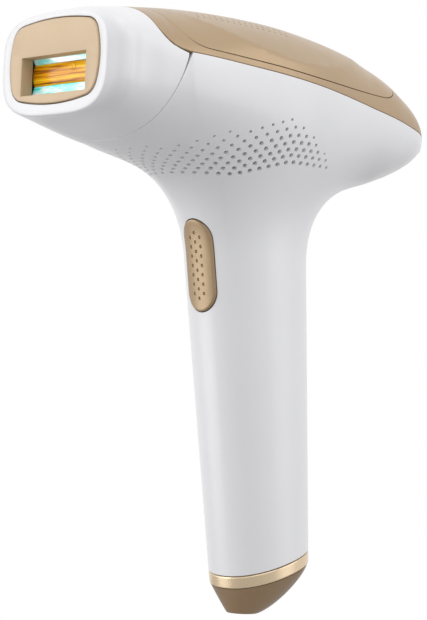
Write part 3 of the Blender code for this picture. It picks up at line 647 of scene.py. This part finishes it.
def vent_cutter():
    spots = vent_places()
    centres, sizes = spots[:, :3], spots[:, 3]
    out = normal(centres)
    points, faces = [], []
    for c, n, r in zip(centres, out, sizes):
        u = unit(np.cross(n, Y_AXIS))
        v = np.cross(n, u)
        base = len(points)
        profile = ((0.6, 1.35), (0.0, 1.0), (-0.45, 0.78), (-WALL - 0.8, 0.40))
        for depth, k in profile:
            points.extend(disc(c + n * depth, u, v, r * k, 12))
        for lower in range(len(profile) - 1):
            for i in range(12):
                j = (i + 1) % 12
                a, b = base + lower * 12, base + lower * 12 + 12
                faces.append((a + i, a + j, b + j, b + i))
        faces.append(range(base, base + 12))
        faces.append(range(base + 36, base + 48))
    return mesh_object("vent_cutter", points, faces, BLACK)


def fine_housing():
    count = 144
    rows = np.concatenate([[0.0, 0.004], np.linspace(0.012, 0.50, 30)[:-1], np.linspace(0.50, 0.985, 46), [0.995, 1.0]])
    paths = housing_columns(housing_angles(count), GAP / 2 + ROLL)
    grid = np.array([resample(path, rows) for path in paths]).transpose(1, 0, 2)
    ob = thick("housing_shell", list(grid), WALL, WHITE)
    cut(ob, vent_cutter())
    w, l = BUTTON_HALF_W + 0.3, BUTTON_HALF_L + 0.3
    cut(ob, loft("button_hole", [stadium(w, l, -9.0), stadium(w, l, 6.0)], BLACK))
    skin_normals(ob)
    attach(ob, "handle_and_head")
    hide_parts("main_housing")


def top_shells():
    t = np.linspace(0.0, 2 * math.pi, 200, endpoint=False)
    alpha = np.arctan2(33.0 * np.sin(t), 74.0 * np.cos(t))
    crown, paths = cover_columns(alpha, GAP / 2 + ROLL)
    cover, panel = [], []
    for path in paths:
        value = outside_panel(path)
        k = int(np.argmax(value > 0.0))
        f = value[k - 1] / (value[k - 1] - value[k])
        edge = path[k - 1] + (path[k] - path[k - 1]) * f
        inside = np.vstack([path[:k], edge])
        size = np.sum(np.linalg.norm(np.diff(inside, axis=0), axis=1))
        open_up = PANEL_LIP + PANEL_GAP * float(np.clip((edge[1] + 70.0) / 7.0, 0.15, 1.0))
        panel.append(resample(inside, np.append(np.linspace(0.02, 0.97, 30), 1.0 - open_up / size)))
        beyond = np.vstack([edge, path[k:]])
        size = np.sum(np.linalg.norm(np.diff(beyond, axis=0), axis=1))
        cover.append(resample(beyond, np.linspace(open_up / size, 1.0, 14)))
    cover = list(np.array(cover).transpose(1, 0, 2))
    panel = list(np.array(panel).transpose(1, 0, 2))
    ob = thick("cover_shell", cover, WALL, GOLD, PANEL_LIP, ROLL)
    skin_normals(ob)
    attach(ob, "handle_and_head")
    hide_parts("top_cover")
    upper = rolled(panel, 0.0, PANEL_LIP)
    lower = [row - normal(row) * 1.8 for row in panel[::3]]
    ob = loft("panel_inlay", upper + lower[::-1], GOLD_PANEL)
    cut(ob, dot_cutter())
    skin_normals(ob)
    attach(ob, "handle_and_head")
    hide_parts("top_panel")




def dot_cutter():
    """Tiny perforations in two fields beside the middle of the top panel."""
    points, faces = [], []
    for side in (-1, 1):
        for row in range(3):
            for k in range(16):
                x = side * (17.0 + 1.9 * row)
                y = -56.0 + 2.6 * k + (row % 2) * 1.3
                at = radial_hit(np.array([[x, y, 170.0]]), Z_AXIS[None])[0]
                n = normal(at[None])[0]
                u = unit(np.cross(n, Y_AXIS))
                v = np.cross(n, u)
                base = len(points)
                points.extend(disc(at + n * 0.4, u, v, 0.42, 8))
                points.extend(disc(at - n * 0.5, u, v, 0.30, 8))
                faces.extend((base + i, base + (i + 1) % 8, base + 8 + (i + 1) % 8, base + 8 + i) for i in range(8))
                faces.append(range(base, base + 8))
                faces.append(range(base + 8, base + 16))
    return mesh_object("dot_cutter", points, faces, GOLD)


def plate_outline(grow, y, angles, pivot=None):
    """Barrel outline of the contact plate: bowed sides and rounded corners, seen from a pivot height."""
    pivot = PLATE_Z if pivot is None else pivot
    c, s = np.cos(angles), np.sin(angles)
    near, far = np.zeros(len(angles)), np.full(len(angles), 40.0)
    for _ in range(40):
        r = (near + far) / 2
        x, z = r * c, pivot + r * s - PLATE_Z
        sides = np.abs(x) - 22.5 + 3.0 * (z / 12.0)**2
        ends = np.maximum(z - 13.2 + 1.6 * (x / 18.5)**2, -z - 13.2 + 1.9 * (x / 18.5)**2)
        out = smooth_max(sides, ends, 3.2) > grow
        far = np.where(out, r, far)
        near = np.where(out, near, r)
    return np.stack([near * c, np.full(len(angles), y), pivot + near * s], -1)


def cartridge():
    phi = np.linspace(0.0, 2 * math.pi, 160, endpoint=False)
    phi = np.arctan2(np.sin(phi) * 1.15, np.cos(phi))
    rows = np.concatenate([[0.0, 0.02, 0.045, 0.08], np.linspace(0.12, 1.0, 22)])
    paths = cartridge_columns(phi, GAP / 2 + ROLL)
    grid = list(np.array([resample(path, rows) for path in paths]).transpose(1, 0, 2))
    angles = math.pi / 2 - phi

    def hole(grow, y):
        return plate_outline(grow, y, angles)

    face = grid[0].copy()
    inward = unit(hole(0.35, RIM_FRONT) - face)
    soft = []
    for a in (18.0, 40.0, 65.0, 90.0):
        s, c = math.sin(math.radians(a)), math.cos(math.radians(a))
        step = face + inward * 1.0 * (1.0 - c)
        step[:, 1] = RIM_FRONT + 0.55 * (1.0 - s)
        soft.append(step)
    grid = soft[::-1] + [r for r in grid if r[:, 1].min() > RIM_FRONT + 0.56]
    outer = rolled(grid, 0.0, ROLL)
    front = [hole(0.35, RIM_BACK), hole(0.35, RIM_FRONT + 0.3), hole(0.45, RIM_FRONT + 0.08), hole(0.65, RIM_FRONT)]
    inner = [row - normal(row) * 1.9 for row in grid[7::3]]
    inner[-1] = outer[-1] - normal(grid[-1]) * 1.6
    ob = ring("cartridge_case", front + outer + inner[::-1], WHITE)
    skin_normals(ob, crease=40.0)
    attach(ob, "cartridge")
    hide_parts("cartridge_shell")




def window_rectangle(grow, y, per_side=(40, 16), soft=0.0):
    """Rectangle of the light window, with sharp corners; the soft argument is not used."""
    w, h = WINDOW_W + grow, WINDOW_H + grow
    corners = [(w, h), (-w, h), (-w, -h), (w, -h)]
    points = []
    for k in range(4):
        a, b = corners[k], corners[(k + 1) % 4]
        n = per_side[k % 2]
        points.extend((a[0] + (b[0] - a[0]) * i / n, a[1] + (b[1] - a[1]) * i / n) for i in range(n))
    return np.array([(x, y, WINDOW_Z + z) for x, z in points])


def contact_plate():
    flat = window_rectangle(0.0, 0.0)
    angles = np.arctan2(flat[:, 2] - WINDOW_Z, flat[:, 0])

    def outline(grow, y):
        return plate_outline(grow, y, angles, WINDOW_Z)

    loops = [window_rectangle(0.0, PLATE_FRONT + 0.25), window_rectangle(0.08, PLATE_FRONT + 0.08),
             window_rectangle(0.25, PLATE_FRONT),
             outline(-0.45, PLATE_FRONT), outline(-0.22, PLATE_FRONT + 0.05), outline(-0.06, PLATE_FRONT + 0.2),
             outline(0.0, PLATE_FRONT + 0.42), outline(0.0, RIM_BACK + 0.3),
             outline(0.6, RIM_BACK + 0.3), outline(0.6, RIM_BACK + 1.2),
             window_rectangle(1.2, RIM_BACK + 1.2), window_rectangle(1.2, TUNNEL_BACK),
             window_rectangle(0.0, TUNNEL_BACK)]
    ob = ring("plate_face", loops, GOLD_PLATE)
    skin_normals(ob, crease=35.0)
    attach(ob, "contact_plate_body")
    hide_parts("contact_plate")


def filter_window():
    """Amber tube face between two cyan glass edges, inside the space of the filter glass."""
    def bar(name, profile, mat, half=17.4):
        loops = [[(x, y, WINDOW_Z + z) for y, z in profile] for x in np.linspace(-half, half, 30)]
        piece = loft(name, loops, mat)
        piece.data.set_sharp_from_angle(angle=math.radians(40))
        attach(piece, "cartridge")
        return piece

    swell = []
    for k in range(17):
        a = math.pi * (k / 16.0 - 0.5)
        swell.append((-90.2 - 1.0 * math.cos(a), 1.25 + 3.45 * math.sin(a)))
    amber = bar("filter_amber", swell, AMBER_PAINTED_GLOW)
    top = bar("filter_edge_top", [(-91.2, 7.3), (-91.2, 6.0), (-90.5, 4.75), (-90.1, 4.75), (-90.1, 7.3)], CYAN_TOP_PAINTED_REFLECTION)
    low = bar("filter_edge_low", [(-91.2, -7.2), (-91.2, -4.6), (-90.5, -2.3), (-90.1, -2.3), (-90.1, -7.2)], CYAN_LOW_PAINTED_REFLECTION)
    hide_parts("filter_glass")
    bead = loft("filter_bead", [disc((3.2, y, WINDOW_Z + 2.6), X_AXIS, Z_AXIS, r, 20)
                                for y, r in ((-90.6, 1.2), (-91.15, 1.2), (-91.28, 1.0), (-91.28, 0.7), (-91.05, 0.6))],
                AMBER_PAINTED_GLOW)
    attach(bead, "cartridge")


# ---------------------------------------------------------------- handle foot
def foot_loop(height, inset, theta):
    spokes = handle_spokes(theta)
    foot = np.array([0.0, handle_centre(2.0), 2.0])
    start = radial_hit(np.repeat(foot[None], len(theta), 0), spokes)
    paths = trace(foot, HANDLE_AXIS, spokes, start, lambda p: above_plane(p, height))
    loop = np.array([path[-1] for path in paths])
    inward = loop - np.array([0.0, handle_centre(height), 0.0]) * (1, 1, 0)
    inward[:, 2] = 0.0
    moved = loop - unit(inward) * inset
    moved[:, 2] += RIM_SLOPE * (moved[:, 1] - loop[:, 1])
    return moved


def handle_foot():
    theta = np.linspace(0.0, 2 * math.pi, 128, endpoint=False)
    high, low = RIM_Z - 0.22, BAND_Z + 0.1
    section = [(high, 2.3), (high, 0.55), (high - 0.06, 0.30), (high - 0.22, 0.10), (high - 0.5, 0.02),
               (low + 0.5, 0.02), (low + 0.2, 0.08), (low + 0.05, 0.28), (low, 0.5), (low, 2.3)]
    ob = ring("band_ring", [foot_loop(h, i, theta) for h, i in section], GOLD_BAND)
    skin_normals(ob, crease=50.0)
    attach(ob, "handle_and_head")
    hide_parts("handle_band")
    rim = foot_loop(BAND_Z - 0.05, 0.30, theta)
    lip = [foot_loop(BAND_Z - 0.02, 2.5, theta), foot_loop(BAND_Z - 0.02, 0.6, theta)]
    base = np.stack([BASE_R * np.sin(theta), BASE_Y - BASE_R * np.cos(theta), 0.0 * theta], -1)
    power = 1.02 + 0.33 * (1 - np.cos(theta)) / 2
    loops = []
    for t in np.linspace(0.0, 1.0, 22):
        side = max(math.cos(t * math.pi / 2), 0.0)
        drop = math.sin(t * math.pi / 2)
        loop = base + (rim - base) * (side**(2.0 / power))[:, None]
        loop[:, 2] = rim[:, 2] * (1.0 - drop**(2.0 / power))
        loops.append(loop)
    centre = np.array([0.0, BASE_Y, 0.0])
    rounds = [centre + (base - centre) * k + (0.0, 0.0, h) for k, h in ((0.78, 0.0), (0.73, 0.12), (0.72, 0.35))]
    inner = []
    for loop in loops[:-1:3]:
        inward = unit(centre + (0.0, 0.0, 14.0) - loop)
        inner.append(loop + inward * 2.0 + (0.0, 0.0, 0.4))
    inner[0] = lip[0]
    ob = ring("cap_bowl", [lip[1]] + loops + rounds + [rounds[-1] + (0.0, 0.0, 2.0)] + inner[::-1], GOLD_CAP)
    ob.data.set_sharp_from_angle(angle=math.radians(50))
    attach(ob, "handle_and_head")
    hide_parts("bottom_cap")


# ---------------------------------------------------------------- flash button
BUTTON_OUT = np.array([0.0, -math.cos(BUTTON_TILT), -math.sin(BUTTON_TILT)])
BUTTON_UP = np.array([0.0, -math.sin(BUTTON_TILT), math.cos(BUTTON_TILT)])


def button_centre():
    inside = np.array([[0.0, handle_centre(BUTTON_Z), BUTTON_Z]])
    return radial_hit(inside, BUTTON_OUT[None])[0]


def stadium(half_w, half_l, depth, count=96):
    """Stadium loop in the button's plane with evenly spaced points."""
    straight = half_l - half_w
    total = 2 * math.pi * half_w + 4 * straight
    loop = []
    for k in range(count):
        d = total * k / count
        if d < math.pi * half_w:
            a = d / half_w
            u, v = half_w * math.cos(a), straight + half_w * math.sin(a)
        elif d < math.pi * half_w + 2 * straight:
            u, v = -half_w, straight - (d - math.pi * half_w)
        elif d < 2 * math.pi * half_w + 2 * straight:
            a = math.pi + (d - math.pi * half_w - 2 * straight) / half_w
            u, v = half_w * math.cos(a), -straight + half_w * math.sin(a)
        else:
            u, v = half_w, -straight + (d - 2 * math.pi * half_w - 2 * straight)
        loop.append((u, v))
    loop = np.array(loop)
    return button_centre() + loop[:, :1] * X_AXIS + loop[:, 1:] * BUTTON_UP + depth * BUTTON_OUT


def drape(loop, proud):
    deep = loop - BUTTON_OUT * 12.0
    return radial_hit(deep, np.repeat(BUTTON_OUT[None], len(loop), 0), 30.0) + BUTTON_OUT * proud


def dimple_cutter():
    points, faces = [], []
    spots = [(0.0, 3.1 * (k - 3.5)) for k in range(8)]
    spots += [(side * 2.3, 3.1 * (k - 3.0)) for side in (-1, 1) for k in range(7)]
    for u, v in spots:
        at = drape((button_centre() + u * X_AXIS + v * BUTTON_UP)[None], BUTTON_PROUD)[0]
        base = len(points)
        profile = ((0.5, 0.95), (0.0, 0.62), (-0.25, 0.50), (-0.45, 0.30))
        for depth, r in profile:
            points.extend(disc(at + BUTTON_OUT * depth, X_AXIS, BUTTON_UP, r, 12))
        for row in range(3):
            for i in range(12):
                j = (i + 1) % 12
                a, b = base + row * 12, base + row * 12 + 12
                faces.append((a + i, a + j, b + j, b + i))
        faces.append(range(base, base + 12))
        faces.append(range(base + 36, base + 48))
    return mesh_object("dimple_cutter", points, faces, GOLD_BUTTON)


def flash_button():
    w, l = BUTTON_HALF_W, BUTTON_HALF_L
    lifts = ((0.0, -0.2), (0.0, 0.15), (0.08, 0.38), (0.25, 0.56), (0.5, 0.66), (0.85, BUTTON_PROUD),
             (1.8, BUTTON_PROUD), (3.0, BUTTON_PROUD), (4.4, BUTTON_PROUD), (5.6, BUTTON_PROUD))
    loops = [stadium(w, l, -3.6)] + [drape(stadium(w - i, l - i, 0.0), h) for i, h in lifts]
    ob = loft("button_cap", loops, GOLD_BUTTON)
    cut(ob, dimple_cutter())
    skin_normals(ob, offset=BUTTON_PROUD, crease=30.0)
    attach(ob, "flash_button_body")
    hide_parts("flash_button")


# ---------------------------------------------------------------- camera, light and floor
def studio():
    scene = bpy.context.scene
    cam = bpy.data.cameras.new("camera")
    cam.sensor_fit = "AUTO"
    cam.sensor_width = 36.0
    cam.lens = 120.25
    cam.clip_start, cam.clip_end = 0.01, 20.0
    ob = bpy.data.objects.new("camera", cam)
    azimuth, elevation, roll = math.radians(48.0), math.radians(-1.675), math.radians(2.495)
    back = Vector((math.sin(azimuth) * math.cos(elevation), -math.cos(azimuth) * math.cos(elevation),
                   math.sin(elevation)))
    target = Vector((0.0, -0.0253 + CENTRE_SHIFT * 0.001, 0.1011))
    right = (-back).cross(Vector((0.0, 0.0, 1.0))).normalized()
    up = right.cross(-back)
    side = right * math.cos(roll) + up * math.sin(roll)
    top = up * math.cos(roll) - right * math.sin(roll)
    turn = Matrix((side, top, back)).transposed().to_4x4()
    ob.matrix_world = Matrix.Translation(target + back * 0.6888) @ turn
    scene.collection.objects.link(ob)
    scene.camera = ob

    world = bpy.data.worlds.new("studio")
    world.use_nodes = True
    world.node_tree.nodes["Background"].inputs["Color"].default_value = (1.0, 1.0, 1.0, 1.0)
    world.node_tree.nodes["Background"].inputs["Strength"].default_value = 1.0
    scene.world = world
    scene.view_settings.view_transform = "Standard"
    scene.view_settings.look = "None"

    def lamp(name, azimuth, height, distance, size, power):
        data = bpy.data.lights.new(name, "AREA")
        data.shape = "RECTANGLE"
        data.size, data.size_y = size
        data.energy = power
        light = bpy.data.objects.new(name, data)
        a = math.radians(azimuth)
        light.location = (math.sin(a) * distance, -math.cos(a) * distance, height)
        aim = Vector((0.0, 0.0, 0.14)) - light.location
        light.rotation_euler = aim.to_track_quat("-Z", "Y").to_euler()
        scene.collection.objects.link(light)

    lamp("top_softbox", 60.0, 1.1, 0.5, (0.9, 0.9), 4.0)
    lamp("right_softbox", 125.0, 0.35, 0.9, (0.5, 1.0), 1.8)
    lamp("left_softbox", -40.0, 0.20, 0.9, (0.5, 1.0), 4.0)

    floor = bpy.data.meshes.new("floor")
    edge = [(1.25 * math.cos(a), 1.25 * math.sin(a), -0.25) for a in np.linspace(0.0, 2 * math.pi, 96, endpoint=False)]
    floor.from_pydata(edge, [], [tuple(range(96))])
    mat, tree, bsdf = shader_material("floor_finish", (0.42, 0.42, 0.42), 0.9)
    floor.materials.append(mat)
    ob = bpy.data.objects.new("floor", floor)
    scene.collection.objects.link(ob)


fine_housing()
top_shells()
cartridge()
contact_plate()
filter_window()
handle_foot()
flash_button()
studio()
